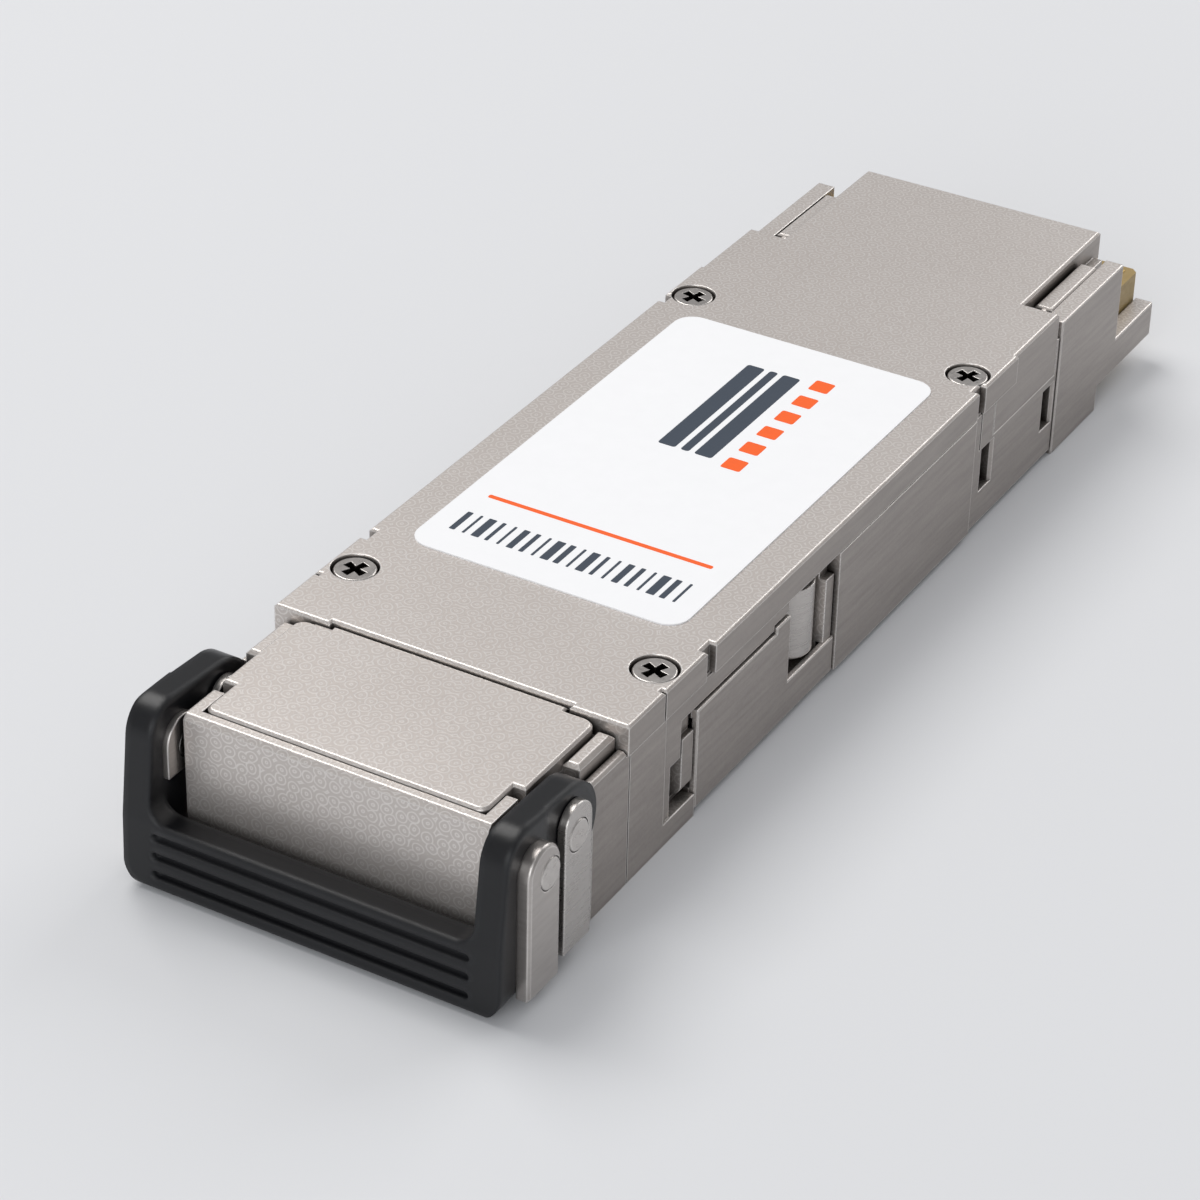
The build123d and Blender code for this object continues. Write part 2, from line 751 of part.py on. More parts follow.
# Bail side plates, backing plates and rivets on each arm
for side, side_name in ((1, "right"), (-1, "left")):
    with BuildPart() as side_plate:
        with BuildSketch(Plane.YZ.offset(bail_half)):
            side_box(
                (strap_y - strap_half_width, strap_bottom),
                (strap_y + strap_half_width, strap_top - strap_half_width),
            )
            with Locations((strap_y, strap_top - strap_half_width)):
                Circle(strap_half_width)
        extrude(amount=strap_thickness)
        chamfer(side_plate.faces().sort_by(Axis.X)[-1].edges(), length=strap_bevel)
        with BuildSketch(Plane.YZ.offset(bail_half)):
            with Locations((rivet_y, rivet_z)):
                Circle(pin_radius + pin_fit)
        extrude(amount=strap_thickness, mode=Mode.SUBTRACT)
        if side < 0:
            mirror(about=Plane.YZ, mode=Mode.REPLACE)
    write(side_plate.part, f"bail_side_plate_{side_name}")

    with BuildPart() as backing_plate:
        with BuildSketch(Plane.YZ.offset(arm_inner_x)):
            side_box(
                (strap_y - strap_half_width, backing_bottom),
                (strap_y + strap_half_width, strap_top - strap_half_width),
            )
            with Locations((strap_y, strap_top - strap_half_width)):
                Circle(strap_half_width)
            with Locations((rivet_y, rivet_z)):
                Circle(pin_radius + pin_fit, mode=Mode.SUBTRACT)
        extrude(amount=-backing_thickness)
        if side < 0:
            mirror(about=Plane.YZ, mode=Mode.REPLACE)
    write(backing_plate.part, f"bail_backing_plate_{side_name}")

    with BuildPart() as rivet:
        with BuildSketch(Plane.YZ.offset(arm_inner_x - backing_thickness)):
            with Locations((rivet_y, rivet_z)):
                Circle(pin_radius)
        extrude(amount=bail_half + strap_thickness + rivet_stand - arm_inner_x + backing_thickness)
        chamfer(rivet.edges().sort_by(Axis.X)[-1], length=side_cover_bevel)
        if side < 0:
            mirror(about=Plane.YZ, mode=Mode.REPLACE)
    write(rivet.part, f"bail_rivet_{side_name}")

    with BuildPart() as pivot_pin:
        with BuildSketch(Plane.YZ.offset(slider_x + pin_fit)):
            with Locations((pivot_y, pivot_z)):
                Circle(pin_radius)
        extrude(amount=ear_x + ear_thickness + rivet_stand - slider_x - pin_fit)
        chamfer(pivot_pin.edges().sort_by(Axis.X)[-1], length=side_cover_bevel)
        if side < 0:
            mirror(about=Plane.YZ, mode=Mode.REPLACE)
    write(pivot_pin.part, f"pivot_pin_{side_name}")

# Latch slider: two stamped arms joined by a strap under the nose
with BuildPart() as latch_slider:
    with BuildSketch(Plane.YZ.offset(slider_x)):
        side_box(
            (pivot_y - ear_half_width, slider_bottom),
            (pivot_y + ear_half_width, ear_top - ear_half_width),
        )
        with Locations((pivot_y, ear_top - ear_half_width)):
            Circle(ear_half_width)
        side_box((pivot_y, slider_arm_bottom), (slider_step_y, slider_arm_top))
        side_box((pivot_y, spring_tunnel_top), (head_start, slider_arm_top))
        side_box((head_start, head_bottom), (head_end, head_top))
        with Locations((pivot_y, pivot_z)):
            Circle(pin_radius + pin_fit, mode=Mode.SUBTRACT)
    extrude(amount=slider_stock)
    with BuildSketch(Plane.YZ.offset(ear_x)):
        side_box(
            (pivot_y - ear_half_width, slider_bottom),
            (pivot_y + ear_half_width, ear_top - ear_half_width),
        )
        with Locations((pivot_y, ear_top - ear_half_width)):
            Circle(ear_half_width)
        with Locations((pivot_y, pivot_z)):
            Circle(pin_radius + pin_fit, mode=Mode.SUBTRACT)
    extrude(amount=ear_thickness)
    with BuildSketch(Plane.XY.offset(slider_bottom)):
        plan_box(
            (0, pivot_y - ear_half_width),
            (ear_x + ear_thickness, pivot_y + ear_half_width),
        )
    extrude(amount=slider_stock)
    with BuildSketch(Plane.YZ.offset(slider_x)):
        side_box(
            (spring_tab_y, slider_arm_bottom),
            (spring_tab_y + spring_tab_length, spring_tunnel_top + slider_stock),
        )
    extrude(amount=channel_depth - 2 * slider_gap)
    # Half-round boss swaged out of each arm's end
    with BuildSketch(Plane.XY.offset(head_bottom)):
        with BuildLine():
            chord = Line(
                (slider_outer_x, barrel_y - barrel_half_width),
                (slider_outer_x, barrel_y + barrel_half_width),
            )
            ThreePointArc(chord @ 1, (barrel_x, barrel_y), chord @ 0)
        make_face()
    extrude(amount=barrel_top - head_bottom)
    mirror(about=Plane.YZ)
write(latch_slider.part, "latch_slider")

# Return springs of flat wire between the housing's stop and the slider's tab
spring_start = spring_stop_end + spring_wire / 2 + spring_seat_gap
spring_end = spring_tab_y - spring_wire / 2 - spring_seat_gap
spring_x = channel_x + channel_depth / 2
spring_z = channel_bottom + spring_radius + spring_wire / 2 + slider_gap
for side, side_name in ((1, "right"), (-1, "left")):
    with BuildPart() as return_spring:
        with BuildLine():
            coil = Helix(
                pitch=(spring_end - spring_start) / spring_turns,
                height=spring_end - spring_start,
                radius=spring_radius,
                center=(side * spring_x, spring_start, spring_z),
                direction=(0, 1, 0),
            )
        with BuildSketch(Plane(origin=coil @ 0, z_dir=coil % 0)):
            Rectangle(spring_wire, spring_wire)
        sweep()
    write(return_spring.part, f"return_spring_{side_name}")

# Card, wider between the rear side walls, with holes on the housing's pegs
with BuildPart() as paddle_card:
    with BuildSketch(Plane.XY.offset(card_bottom)):
        plan_box((-card_front_half, card_start), (card_front_half, card_step_y))
        plan_box((-card_half, card_step_y), (card_half, card_end))
        with Locations((peg_x, peg_y + peg_radius), (-peg_x, peg_y + peg_radius)):
            Circle(peg_radius + peg_gap, mode=Mode.SUBTRACT)
    extrude(amount=card_thickness)
    tip = paddle_card.faces().sort_by(Axis.Y)[-1]
    chamfer(tip.edges().filter_by(Axis.Z), length=card_corner)
write(paddle_card.part, "paddle_card")

# Edge contacts on both faces of the card
for level, name in (
    (card_top, "contact_pads_top"),
    (card_bottom - pad_thickness, "contact_pads_bottom"),
):
    with BuildPart() as contact_pads:
        with BuildSketch(Plane.XY.offset(level)):
            with Locations((0, card_end - pad_end_margin - pad_length / 2)):
                with GridLocations(pad_pitch, 0, pad_count, 1):
                    Rectangle(pad_width, pad_length)
        extrude(amount=pad_thickness)
    write(contact_pads.part, name)

# Chips, capacitors and load resistors on the card's top face
with BuildPart() as memory_chip:
    with BuildSketch(Plane.XY.offset(card_top)):
        with Locations((memory_x, memory_y)):
            Rectangle(memory_width, memory_length)
    extrude(amount=memory_height)
    chamfer(memory_chip.faces().sort_by(Axis.Z)[-1].edges(), length=edge_bevel)
write(memory_chip.part, "memory_chip")

with BuildPart() as control_chip:
    with BuildSketch(Plane.XY.offset(card_top)):
        with Locations((control_x, control_y)):
            Rectangle(control_side, control_side)
    extrude(amount=control_height)
    chamfer(control_chip.faces().sort_by(Axis.Z)[-1].edges(), length=edge_bevel)
write(control_chip.part, "control_chip")

with BuildPart() as coupling_capacitors:
    with BuildSketch(Plane.XY.offset(card_top)):
        with Locations((0, capacitor_y)):
            with GridLocations(capacitor_pitch, 0, capacitor_count, 1):
                Rectangle(capacitor_width, capacitor_length)
    extrude(amount=capacitor_height)
write(coupling_capacitors.part, "coupling_capacitors")

with BuildPart() as load_resistors:
    with BuildSketch(Plane.XY.offset(card_top)):
        with Locations((0, resistor_y)):
            with GridLocations(resistor_pitch_x, resistor_pitch_y, resistor_columns, resistor_rows):
                Rectangle(resistor_width, resistor_length)
    extrude(amount=resistor_height)
write(load_resistors.part, "load_resistors")

# Thermal pad between the load resistors and the cover
with BuildPart() as thermal_pad:
    with BuildSketch(Plane.XY.offset(card_top + resistor_height)):
        with Locations((0, resistor_y)):
            Rectangle(
                (resistor_columns - 1) * resistor_pitch_x + resistor_width + 2 * pad_margin,
                (resistor_rows - 1) * resistor_pitch_y + resistor_length + 2 * pad_margin,
            )
    extrude(amount=seat_z - card_top - resistor_height)
write(thermal_pad.part, "thermal_pad")
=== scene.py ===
"""Looks of the loopback module: a finish for each piece, the label's print, two pins and a studio."""

import math

import bmesh
import bpy
from mathutils import Matrix, Vector


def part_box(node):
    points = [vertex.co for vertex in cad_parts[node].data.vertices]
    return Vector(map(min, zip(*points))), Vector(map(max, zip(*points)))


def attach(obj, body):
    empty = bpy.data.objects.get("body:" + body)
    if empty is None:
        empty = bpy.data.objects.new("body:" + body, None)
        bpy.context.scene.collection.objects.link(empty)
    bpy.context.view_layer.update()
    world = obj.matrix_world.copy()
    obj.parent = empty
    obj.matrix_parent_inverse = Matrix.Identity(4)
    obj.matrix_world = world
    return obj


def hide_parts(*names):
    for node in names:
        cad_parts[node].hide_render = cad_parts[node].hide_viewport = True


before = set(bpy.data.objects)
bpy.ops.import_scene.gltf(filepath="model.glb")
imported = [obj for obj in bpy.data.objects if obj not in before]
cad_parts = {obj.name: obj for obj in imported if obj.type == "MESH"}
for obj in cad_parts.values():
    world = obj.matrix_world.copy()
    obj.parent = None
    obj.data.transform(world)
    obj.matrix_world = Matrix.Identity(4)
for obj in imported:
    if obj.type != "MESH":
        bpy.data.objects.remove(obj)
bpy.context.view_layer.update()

MM = 0.001

# Camera, from a fit of the module's real sizes to their places in the photograph
CAMERA_LENS = 111.415
CAMERA_SENSOR = 36.0
CAMERA_AZIMUTH = math.radians(29.645)
CAMERA_ELEVATION = math.radians(32.317)
CAMERA_ROLL = math.radians(1.443)
CAMERA_AIM = Vector((-3.477, 19.152, 0.247)) * MM
CAMERA_DISTANCE = 182.254 * MM
CAMERA_NEAR = 0.01
CAMERA_FAR = 20.0

# Colours, linear
NICKEL = (0.575, 0.525, 0.49)
NICKEL_RING = (0.94, 0.905, 0.875)
# Painted shade: the darker colour given to the sides of the cast pieces
NICKEL_SIDE_SHADE = (0.205, 0.182, 0.168)
# Painted highlight: the light colour laid on the rounded edges of the metal pieces
NICKEL_HIGHLIGHT = (0.95, 0.92, 0.89)
STRAP = (0.345, 0.315, 0.295)
SLIDER = (0.40, 0.375, 0.355)
SCREW = (0.47, 0.44, 0.415)
# Painted shade: the dark brown laid in seams, recesses and pockets
CREVICE_SHADE = (0.030, 0.021, 0.016)
BLACK_PLASTIC = (0.0050, 0.0052, 0.0062)
# Lighter black for the plastic's random mottle and for a painted highlight on its rounded edges
BLACK_PLASTIC_MOTTLE_AND_HIGHLIGHT = (0.017, 0.018, 0.021)
LABEL_WHITE = (0.93, 0.935, 0.95)
ORANGE = (1.0, 0.125, 0.003)
SLATE = (0.036, 0.052, 0.078)
BOARD_TAN = (0.42, 0.30, 0.11)
BOARD_TAN_DARK = (0.25, 0.17, 0.06)
GOLD = (0.94, 0.68, 0.26)
CHIP_BLACK = (0.022, 0.022, 0.024)
CERAMIC = (0.36, 0.25, 0.15)
GAP_PAD = (0.38, 0.45, 0.55)
FLOOR_PALE = (0.70, 0.71, 0.73)

# Ringed grain: the wander's scale and reach and the turn in radians are for a pitch of 1
RING_WANDER_SCALE = 0.9
RING_WANDER_REACH = 0.35
RING_DISORDER = 0.45
RING_TURN = 21.0
RING_START = -0.6
RING_LOW = 0.25
RING_HIGH = 0.9

# Cosine between the rounded and the plain normal where an edge's mask starts and where it is full
EDGE_START = 0.995
EDGE_FULL = 0.90
EDGE_SAMPLES = 6

# Sideways part of the normal where a face starts to count as a side and where it fully does
SIDE_START = 0.5
SIDE_FULL = 0.8

# Painted shade in crevices: how far out in mm other surfaces count, and the openness where the painted
# shade is full and where it is gone
SEAM_REACH = 0.7
SEAM_DARK = 0.12
SEAM_CLEAR = 0.62
POCKET_REACH = 1.6
POCKET_DARK = 0.30
POCKET_CLEAR = 0.85
CREVICE_SAMPLES = 8

# The Mix node has sockets for each kind of value, and these are the colour ones
MIX_FIRST = 6
MIX_SECOND = 7
MIX_RESULT = 2

SHADER_INPUTS = {
    "color": "Base Color",
    "metallic": "Metallic",
    "roughness": "Roughness",
    "normal": "Normal",
    "specular": "Specular IOR Level",
}


class Graph:
    """A material's node tree with short calls for the nodes used here."""

    def __init__(self, name):
        self.material = bpy.data.materials.new(name)
        self.material.use_nodes = True
        self.tree = self.material.node_tree
        self.tree.nodes.clear()
        self.output = self.node("ShaderNodeOutputMaterial")
        self.shader = self.node("ShaderNodeBsdfPrincipled")
        self.link(self.shader.outputs["BSDF"], self.output.inputs["Surface"])
        metres = self.node("ShaderNodeTexCoord").outputs["Object"]
        self.coords = self.vector_math("MULTIPLY", metres, (1.0 / MM,) * 3)

    def node(self, kind, **settings):
        """Adds a node with the given settings."""
        made = self.tree.nodes.new(kind)
        for key, value in settings.items():
            setattr(made, key, value)
        return made

    def link(self, source, target):
        """Joins an output to an input."""
        self.tree.links.new(source, target)

    def feed(self, socket, value):
        """Puts a number, a colour or another node's output on a socket."""
        if isinstance(value, bpy.types.NodeSocket):
            self.link(value, socket)
        elif isinstance(value, tuple) and len(value) == 3 and socket.type == "RGBA":
            socket.default_value = (*value, 1.0)
        else:
            socket.default_value = value

    def calc(self, operation, *values):
        """A sum on numbers."""
        made = self.node("ShaderNodeMath", operation=operation)
        for socket, value in zip(made.inputs, values):
            self.feed(socket, value)
        return made.outputs[0]

    def vector_math(self, operation, *values):
        """A sum on vectors."""
        made = self.node("ShaderNodeVectorMath", operation=operation)
        for socket, value in zip(made.inputs, values):
            self.feed(socket, value)
        return made.outputs["Value"] if operation == "DOT_PRODUCT" else made.outputs["Vector"]

    def layers(self, base, *shares):
        """A base number plus a share of each value, given as pairs of a value and its share."""
        for value, share in shares:
            base = self.calc("MULTIPLY_ADD", value, share, base)
        return base

    def spread(self, value, low, high, to_low=0.0, to_high=1.0):
        """Maps a value from one range to another and clamps it."""
        made = self.node("ShaderNodeMapRange")
        for socket, number in zip(made.inputs, (value, low, high, to_low, to_high)):
            self.feed(socket, number)
        return made.outputs[0]

    def blend(self, amount, first, second):
        """Mixes two colours, from the first at 0 to the second at 1."""
        made = self.node("ShaderNodeMix", data_type="RGBA")
        self.feed(made.inputs["Factor"], amount)
        self.feed(made.inputs[MIX_FIRST], first)
        self.feed(made.inputs[MIX_SECOND], second)
        return made.outputs[MIX_RESULT]

    def noise(self, size, detail=2.0, roughness=0.5):
        """Cloudy noise with features of the given size in mm."""
        return self.streaks(size, size, size, detail, roughness)

    def streaks(self, x, y, z, detail=2.0, roughness=0.6):
        """Noise drawn out to the given sizes in mm along each axis."""
        made = self.node("ShaderNodeTexNoise")
        drawn_out = self.vector_math("MULTIPLY", self.coords, (1.0 / x, 1.0 / y, 1.0 / z))
        self.link(drawn_out, made.inputs["Vector"])
        made.inputs["Scale"].default_value = 1.0
        made.inputs["Detail"].default_value = detail
        made.inputs["Roughness"].default_value = roughness
        return made.outputs["Fac"]

    def rings(self, pitch):
        """Thin light rings round the points of a loose grid, seen on faces square to Y or to Z."""
        parts = self.node("ShaderNodeSeparateXYZ")
        self.link(self.coords, parts.inputs["Vector"])
        flat = self.node("ShaderNodeCombineXYZ")
        self.link(parts.outputs["X"], flat.inputs["X"])
        self.link(self.calc("ADD", parts.outputs["Y"], parts.outputs["Z"]), flat.inputs["Y"])
        plan = flat.outputs["Vector"]
        wander = self.node("ShaderNodeTexNoise")
        wander.inputs["Scale"].default_value = RING_WANDER_SCALE / pitch
        self.link(plan, wander.inputs["Vector"])
        reach = (RING_WANDER_REACH * pitch,) * 3
        shifted = self.vector_math("MULTIPLY_ADD", wander.outputs["Color"], reach, plan)
        grid = self.node("ShaderNodeTexVoronoi", voronoi_dimensions="2D")
        grid.inputs["Scale"].default_value = 1.0 / pitch
        grid.inputs["Randomness"].default_value = RING_DISORDER
        self.link(shifted, grid.inputs["Vector"])
        phase = self.calc("MULTIPLY_ADD", grid.outputs["Distance"], RING_TURN, RING_START)
        return self.spread(self.calc("SINE", phase), RING_LOW, RING_HIGH)

    def bump(self, height, strength, depth, normal=None):
        """Normals with a relief of the given depth in mm."""
        made = self.node("ShaderNodeBump")
        made.inputs["Strength"].default_value = strength
        made.inputs["Distance"].default_value = depth * MM
        self.link(height, made.inputs["Height"])
        if normal is not None:
            self.link(normal, made.inputs["Normal"])
        return made.outputs["Normal"]

    def soft_edges(self, radius):
        """Normals rounded over each edge by a radius in mm, and a mask that is 1 on the rounded stretch."""
        bevel = self.node("ShaderNodeBevel", samples=EDGE_SAMPLES)
        bevel.inputs["Radius"].default_value = radius * MM
        rounded = bevel.outputs["Normal"]
        plain = self.node("ShaderNodeNewGeometry").outputs["Normal"]
        cosine = self.vector_math("DOT_PRODUCT", rounded, plain)
        return rounded, self.spread(cosine, EDGE_START, EDGE_FULL)

    def facing(self):
        """1 on surfaces that face up, down or along the module, 0 on its sides."""
        parts = self.node("ShaderNodeSeparateXYZ")
        self.link(self.node("ShaderNodeNewGeometry").outputs["Normal"], parts.inputs["Vector"])
        sideways = self.calc("ABSOLUTE", parts.outputs["X"])
        return self.spread(sideways, SIDE_FULL, SIDE_START)

    def openness_for_painted_shade(self):
        """1 in the open, 0 deep in a seam between any pieces or in a pocket of the piece itself; it sets
        where shade is painted.
        """
        seam = self.node("ShaderNodeAmbientOcclusion", samples=CREVICE_SAMPLES)
        seam.inputs["Distance"].default_value = SEAM_REACH * MM
        pocket = self.node("ShaderNodeAmbientOcclusion", samples=CREVICE_SAMPLES, only_local=True)
        pocket.inputs["Distance"].default_value = POCKET_REACH * MM
        return self.calc(
            "MINIMUM",
            self.spread(seam.outputs["AO"], SEAM_DARK, SEAM_CLEAR),
            self.spread(pocket.outputs["AO"], POCKET_DARK, POCKET_CLEAR),
        )

    def paint_edge_highlight_and_crevice_shade(self, color, edge, brightness):
        """Painted highlights on the edges and painted shade in the crevices over a metal's colour."""
        color = self.blend(self.calc("MULTIPLY", edge, brightness), color, NICKEL_HIGHLIGHT)
        return self.blend(self.openness_for_painted_shade(), CREVICE_SHADE, color)

    def surface(self, **values):
        """Feeds the shader's inputs and returns the material."""
        for key, value in values.items():
            self.feed(self.shader.inputs[SHADER_INPUTS[key]], value)
        return self.material


def darker(color, share):
    """The colour with each part cut down to the given share."""
    return tuple(share * part for part in color)


def cast_nickel():
    """Satin nickel on die-cast zinc: ringed grain on top and ends, plainer sides with painted shade that
    makes them darker.
    """
    graph = Graph("cast_nickel")
    normal, edge = graph.soft_edges(radius=0.10)
    on_face = graph.facing()
    rings = graph.calc("MULTIPLY", graph.rings(pitch=0.68), on_face)
    cloud = graph.noise(size=6.0, detail=3.0)
    grain = graph.noise(size=0.17, roughness=0.7)
    lines = graph.streaks(x=2.0, y=3.8, z=0.24)
    face_tone = graph.layers(0.0, (cloud, 0.16), (rings, 0.46), (grain, 0.12))
    face = graph.blend(face_tone, NICKEL, NICKEL_RING)
    side_tone = graph.layers(0.0, (grain, 0.30), (lines, 0.40))
    # Painted shade: the sides blend towards a darker colour than the top and ends, on top of their plainer
    # grain
    side = graph.blend(side_tone, NICKEL_SIDE_SHADE, NICKEL)
    # Painted highlight on the edges and painted shade in the crevices
    color = graph.paint_edge_highlight_and_crevice_shade(graph.blend(on_face, side, face), edge, brightness=0.9)
    rough = graph.layers(0.34, (grain, 0.12), (rings, -0.06), (edge, -0.08))
    height = graph.layers(0.0, (grain, 0.4), (rings, 0.8))
    relief = graph.bump(height, strength=0.22, depth=0.008, normal=normal)
    shine = graph.layers(0.58, (on_face, 0.14))
    return graph.surface(color=color, metallic=shine, roughness=rough, normal=relief)


def stamped_nickel(name, base, roughness):
    """Plated sheet steel: smoother, with faint rolling lines."""
    graph = Graph(name)
    normal, edge = graph.soft_edges(radius=0.13)
    lines = graph.streaks(x=1.4, y=1.4, z=0.17)
    cloud = graph.noise(size=4.8)
    tone = graph.layers(0.0, (cloud, 0.20), (lines, 0.20))
    # Painted highlight on the edges and painted shade in the crevices
    color = graph.paint_edge_highlight_and_crevice_shade(graph.blend(tone, base, NICKEL_RING), edge, brightness=0.7)
    rough = graph.layers(roughness, (lines, 0.08))
    relief = graph.bump(lines, strength=0.10, depth=0.006, normal=normal)
    return graph.surface(color=color, metallic=0.9, roughness=rough, normal=relief)


def screw_metal():
    """Satin metal of the screws, rivets, pins and springs, with fine mottling."""
    graph = Graph("screw_metal")
    normal, edge = graph.soft_edges(radius=0.07)
    marks = graph.noise(size=0.38, detail=3.0, roughness=0.65)
    tone = graph.layers(0.0, (marks, 0.4))
    # Painted highlight on the edges and painted shade in the crevices
    color = graph.paint_edge_highlight_and_crevice_shade(graph.blend(tone, SCREW, NICKEL_RING), edge, brightness=0.7)
    rough = graph.layers(0.22, (marks, 0.14))
    relief = graph.bump(marks, strength=0.15, depth=0.008, normal=normal)
    return graph.surface(color=color, metallic=0.95, roughness=rough, normal=relief)


def bail_plastic():
    """Satin black moulded plastic with a fine grain, a random lighter mottle and a painted highlight on the
    rounded edges.
    """
    graph = Graph("bail_plastic")
    normal, edge = graph.soft_edges(radius=0.45)
    grain = graph.noise(size=0.22, detail=3.0, roughness=0.6)
    cloud = graph.noise(size=7.0)
    # Painted highlight: the rounded edges blend towards the lighter black; the cloud adds a random mottle
    tone = graph.layers(0.0, (edge, 0.5), (cloud, 0.3))
    color = graph.blend(tone, BLACK_PLASTIC, BLACK_PLASTIC_MOTTLE_AND_HIGHLIGHT)
    rough = graph.layers(0.27, (grain, 0.12))
    relief = graph.bump(grain, strength=0.12, depth=0.010, normal=normal)
    return graph.surface(color=color, roughness=rough, normal=relief, specular=0.38)


def label_film():
    """White satin film with faint mottling."""
    graph = Graph("label_film")
    mottle = graph.noise(size=1.1, detail=3.0)
    color = graph.blend(mottle, LABEL_WHITE, darker(LABEL_WHITE, 0.95))
    rough = graph.layers(0.36, (mottle, 0.12))
    relief = graph.bump(graph.noise(size=0.55), strength=0.06, depth=0.006)
    return graph.surface(color=color, roughness=rough, normal=relief)


def ink(name, color):
    """Printed ink with a slightly uneven film."""
    graph = Graph(name)
    mottle = graph.noise(size=0.42, detail=3.0)
    shade = graph.blend(graph.layers(0.0, (mottle, 0.6)), color, darker(color, 0.82))
    rough = graph.layers(0.38, (mottle, 0.1))
    return graph.surface(color=shade, roughness=rough)


def board():
    """Glass-fibre board with its woven cloth showing faintly in the cut edge."""
    graph = Graph("board")
    cloth = graph.streaks(x=1.1, y=1.1, z=0.11)
    fibre = graph.noise(size=0.31)
    tone = graph.layers(0.0, (fibre, 0.3), (cloth, 0.7))
    color = graph.blend(tone, BOARD_TAN, BOARD_TAN_DARK)
    rough = graph.layers(0.38, (fibre, 0.2))
    relief = graph.bump(cloth, strength=0.2, depth=0.01)
    return graph.surface(color=color, roughness=rough, normal=relief)


def gold_plate():
    """Hard gold on the edge contacts, lightly brushed along the way they slide."""
    graph = Graph("gold_plate")
    lines = graph.streaks(x=0.11, y=2.0, z=0.11)
    color = graph.blend(lines, GOLD, darker(GOLD, 0.85))
    rough = graph.layers(0.3, (lines, 0.12))
    relief = graph.bump(lines, strength=0.08, depth=0.005)
    return graph.surface(color=color, metallic=0.85, roughness=rough, normal=relief)


def moulded(name, color, smoothest, roughest, size):
    """A matt moulded or fired surface with a grain of the given size in mm."""
    graph = Graph(name)
    grain = graph.noise(size=size, detail=3.0, roughness=0.6)
    shade = graph.blend(grain, color, darker(color, 0.8))
    rough = graph.spread(grain, low=0.3, high=0.7, to_low=smoothest, to_high=roughest)
    relief = graph.bump(grain, strength=0.2, depth=0.01)
    return graph.surface(color=shade, roughness=rough, normal=relief)


def floor_material():
    """Pale seamless floor with a barely visible unevenness."""
    graph = Graph("studio_floor")
    cloud = graph.noise(size=170.0)
    color = graph.blend(cloud, FLOOR_PALE, darker(FLOOR_PALE, 0.985))
    rough = graph.layers(0.55, (cloud, 0.08))
    return graph.surface(color=color, roughness=rough)


CAST = cast_nickel()
STRAP_SHEET = stamped_nickel("strap_nickel", STRAP, roughness=0.27)
SLIDER_SHEET = stamped_nickel("slider_nickel", SLIDER, roughness=0.24)
FASTENER = screw_metal()
BAIL = bail_plastic()
FILM = label_film()
BOARD = board()
CONTACT = gold_plate()
CHIP = moulded("chip_epoxy", CHIP_BLACK, smoothest=0.45, roughest=0.6, size=0.25)
FIRED = moulded("fired_ceramic", CERAMIC, smoothest=0.35, roughest=0.5, size=0.33)
PAD = moulded("gap_pad", GAP_PAD, smoothest=0.6, roughest=0.8, size=0.67)
ORANGE_INK = ink("orange_ink", ORANGE)
SLATE_INK = ink("slate_ink", SLATE)

FINISHES = {
    "base_housing": CAST,
    "top_cover": CAST,
    "nose_cover": CAST,
    "side_cover_left": CAST,
    "side_cover_right": CAST,
    "cover_screw_1": FASTENER,
    "cover_screw_2": FASTENER,
    "cover_screw_3": FASTENER,
    "cover_screw_4": FASTENER,
    "label": FILM,
    "bail_handle": BAIL,
    "bail_side_plate_left": STRAP_SHEET,
    "bail_side_plate_right": STRAP_SHEET,
    "bail_backing_plate_left": STRAP_SHEET,
    "bail_backing_plate_right": STRAP_SHEET,
    "bail_rivet_left": FASTENER,
    "bail_rivet_right": FASTENER,
    "pivot_pin_left": FASTENER,
    "pivot_pin_right": FASTENER,
    "latch_slider": SLIDER_SHEET,
    "paddle_card": BOARD,
    "return_spring_left": FASTENER,
    "return_spring_right": FASTENER,
    "contact_pads_top": CONTACT,
    "contact_pads_bottom": CONTACT,
    "memory_chip": CHIP,
    "control_chip": CHIP,
    "coupling_capacitors": FIRED,
    "load_resistors": CHIP,
    "thermal_pad": PAD,
}


def dress_nodes():
    """Gives each CAD node its material."""
    for name, finish in FINISHES.items():
        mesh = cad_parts[name].data
        mesh.materials.clear()
        mesh.materials.append(finish)


def add_object(name, data):
    """A new object in the scene."""
    made = bpy.data.objects.new(name, data)
    bpy.context.scene.collection.objects.link(made)
    return made


def add_mesh(name, shape, finish):
    """A new object in the scene from a bmesh, which is freed, with one material."""
    mesh = bpy.data.meshes.new(name)
    shape.to_mesh(mesh)
    shape.free()
    mesh.materials.append(finish)
    return add_object(name, mesh)


# Print on the label, in mm: x is from the centre line and y from the label's front edge
LABEL_CORNER = 1.1
INK_THICKNESS = 0.006
RULE_WIDTH = 12.0
RULE_Y = 5.35
RULE_THICKNESS = 0.28
RULE_CORNER = 0.1
BAR_ROW_Y = 2.75
BAR_LENGTH = 1.75
BAR_PITCH = 0.62
BAR_CORNER = 0.05
BAR_WIDTHS = (0.30, 0.14, 0.42, 0.20, 0.14, 0.34, 0.24, 0.14, 0.44)
BLOCK_Y = 18.6
BLOCK_LENGTH = 9.2
BLOCK_CORNER = 0.15
BLOCK_WIDTHS = (0.95, 0.45, 0.95)
BLOCK_X = (-1.35, -0.35, 0.65)
SQUARE_X = 2.35
SQUARE_SIDE = 1.05
SQUARE_CORNER = 0.12
SQUARE_COUNT = 6
SQUARE_PITCH = 1.8
CORNER_STEPS = 6


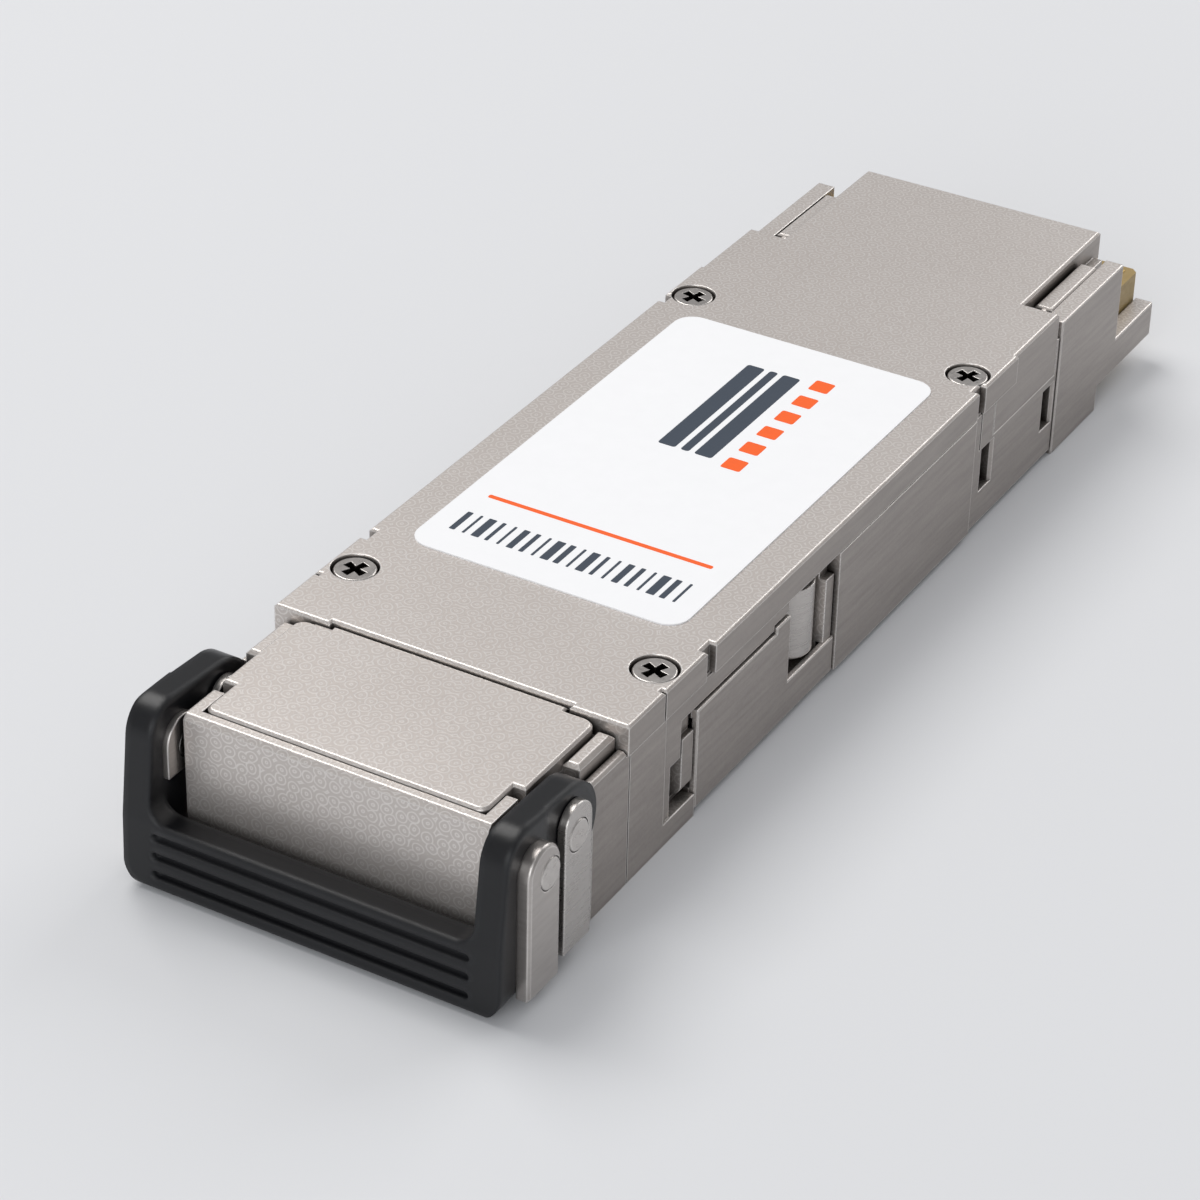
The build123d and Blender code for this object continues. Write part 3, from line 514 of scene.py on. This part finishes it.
def rounded_outline(width, length, radius):
    """Points round a rounded rectangle centred on the origin."""
    points = []
    for quarter, (side_x, side_y) in enumerate(((1, 1), (-1, 1), (-1, -1), (1, -1))):
        centre = Vector((side_x * (width / 2 - radius), side_y * (length / 2 - radius)))
        for step in range(CORNER_STEPS + 1):
            angle = math.radians(90 * quarter + 90 * step / CORNER_STEPS)
            points.append(centre + radius * Vector((math.cos(angle), math.sin(angle))))
    return points


def flat_film(name, marks, level, thickness, finish):
    """Thin flat films on the cover, each given by its centre, width, length and corner radius."""
    label_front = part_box("label")[0][1]
    shape = bmesh.new()
    for x, y, width, length, radius in marks:
        rim = []
        for point in rounded_outline(width, length, radius):
            place = ((x + point.x) * MM, label_front + (y + point.y) * MM, level)
            rim.append(shape.verts.new(place))
        base = shape.faces.new(rim)
        raised = bmesh.ops.extrude_face_region(shape, geom=[base])
        for item in raised["geom"]:
            if isinstance(item, bmesh.types.BMVert):
                item.co.z += thickness
    bmesh.ops.recalc_face_normals(shape, faces=shape.faces)
    piece = add_mesh(name, shape, finish)
    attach(piece, "housing")
    return piece


def label_sheet():
    """The label with the photograph's tighter corners, where the CAD label lies."""
    low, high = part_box("label")
    width = (high[0] - low[0]) / MM
    length = (high[1] - low[1]) / MM
    outline = [(0.0, length / 2, width, length, LABEL_CORNER)]
    sheet = flat_film("label_sheet", outline, low[2], high[2] - low[2], FILM)
    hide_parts("label")


def print_label():
    """An orange rule, a row of slate bars, three slate blocks, a row of orange squares."""
    orange = [(0.0, RULE_Y, RULE_WIDTH, RULE_THICKNESS, RULE_CORNER)]
    for index in range(SQUARE_COUNT):
        y = BLOCK_Y + (index - (SQUARE_COUNT - 1) / 2) * SQUARE_PITCH
        orange.append((SQUARE_X, y, SQUARE_SIDE, SQUARE_SIDE, SQUARE_CORNER))
    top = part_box("label")[1][2]
    flat_film("label_orange_marks", orange, top, INK_THICKNESS * MM, ORANGE_INK)
    slate = []
    count = int(RULE_WIDTH / BAR_PITCH) + 1
    for index in range(count):
        x = (index - (count - 1) / 2) * BAR_PITCH
        slate.append((x, BAR_ROW_Y, BAR_WIDTHS[index % len(BAR_WIDTHS)], BAR_LENGTH, BAR_CORNER))
    for x, width in zip(BLOCK_X, BLOCK_WIDTHS):
        slate.append((x, BLOCK_Y, width, BLOCK_LENGTH, BLOCK_CORNER))
    flat_film("label_slate_marks", slate, top, INK_THICKNESS * MM, SLATE_INK)


# The small pin between the cover and each rear bar, in mm
PIN_X = 7.65
PIN_Z = 7.6
PIN_RADIUS = 0.22
PIN_FRONT = 44.1
PIN_REAR = 45.6
PIN_SEGMENTS = 24


def rear_pins():
    """A pin in front of each side bar of the rear tongue, sunk a little into both ends."""
    for side, x in (("left", -PIN_X), ("right", PIN_X)):
        shape = bmesh.new()
        middle = Vector((x, (PIN_FRONT + PIN_REAR) / 2, PIN_Z)) * MM
        bmesh.ops.create_cone(
            shape,
            cap_ends=True,
            segments=PIN_SEGMENTS,
            radius1=PIN_RADIUS * MM,
            radius2=PIN_RADIUS * MM,
            depth=(PIN_REAR - PIN_FRONT) * MM,
            matrix=Matrix.Translation(middle) @ Matrix.Rotation(math.radians(90), 4, "X"),
        )
        pin = add_mesh(f"rear_bar_pin_{side}", shape, CAST)
        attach(pin, "housing")


# Studio, in metres and watts: each lamp has a name, a place, a power and a colour
FLOOR_SIZE = 6.0
SKY_COLOR = (0.85, 0.855, 0.875)
SKY_STRENGTH = 0.42
LAMP_SIZE = 0.36
LAMP_AIM = Vector((0.0, 0.02, 0.0))
LAMPS = (
    ("key_light", Vector((-0.28, 0.10, 0.48)), 1.85, (1.0, 0.985, 0.965)),
    ("back_light", Vector((0.10, 0.55, 0.34)), 1.1, (1.0, 0.99, 0.98)),
    ("front_fill", Vector((0.12, -0.50, 0.22)), 1.25, (0.96, 0.98, 1.0)),
)


def studio():
    """A pale floor, soft area lights and an even sky."""
    bpy.ops.mesh.primitive_plane_add(size=FLOOR_SIZE, location=(0.0, 0.0, 0.0))
    floor = bpy.context.object
    floor.name = "studio_floor"
    floor.data.materials.append(floor_material())

    world = bpy.data.worlds.new("studio_sky")
    world.use_nodes = True
    background = world.node_tree.nodes["Background"]
    background.inputs["Color"].default_value = (*SKY_COLOR, 1.0)
    background.inputs["Strength"].default_value = SKY_STRENGTH
    bpy.context.scene.world = world
    bpy.context.scene.view_settings.view_transform = "Standard"

    for name, place, power, color in LAMPS:
        data = bpy.data.lights.new(name, "AREA")
        data.size = LAMP_SIZE
        data.energy = power
        data.color = color
        lamp = add_object(name, data)
        lamp.location = place
        lamp.rotation_euler = (LAMP_AIM - place).to_track_quat("-Z", "Y").to_euler()


def place_camera():
    """The photograph's viewing angle."""
    flat = math.cos(CAMERA_ELEVATION)
    back = Vector((
        math.sin(CAMERA_AZIMUTH) * flat,
        -math.cos(CAMERA_AZIMUTH) * flat,
        math.sin(CAMERA_ELEVATION),
    ))
    level = Vector((math.cos(CAMERA_AZIMUTH), math.sin(CAMERA_AZIMUTH), 0.0))
    up = back.cross(level)
    right = math.cos(CAMERA_ROLL) * level + math.sin(CAMERA_ROLL) * up
    top = -math.sin(CAMERA_ROLL) * level + math.cos(CAMERA_ROLL) * up
    data = bpy.data.cameras.new("camera")
    data.sensor_width = CAMERA_SENSOR
    data.lens = CAMERA_LENS
    data.clip_start = CAMERA_NEAR
    data.clip_end = CAMERA_FAR
    camera = add_object("camera", data)
    turn = Matrix((right, top, back)).transposed().to_4x4()
    camera.matrix_world = Matrix.Translation(CAMERA_AIM + back * CAMERA_DISTANCE) @ turn
    bpy.context.scene.camera = camera


dress_nodes()
label_sheet()
print_label()
rear_pins()
studio()
place_camera()
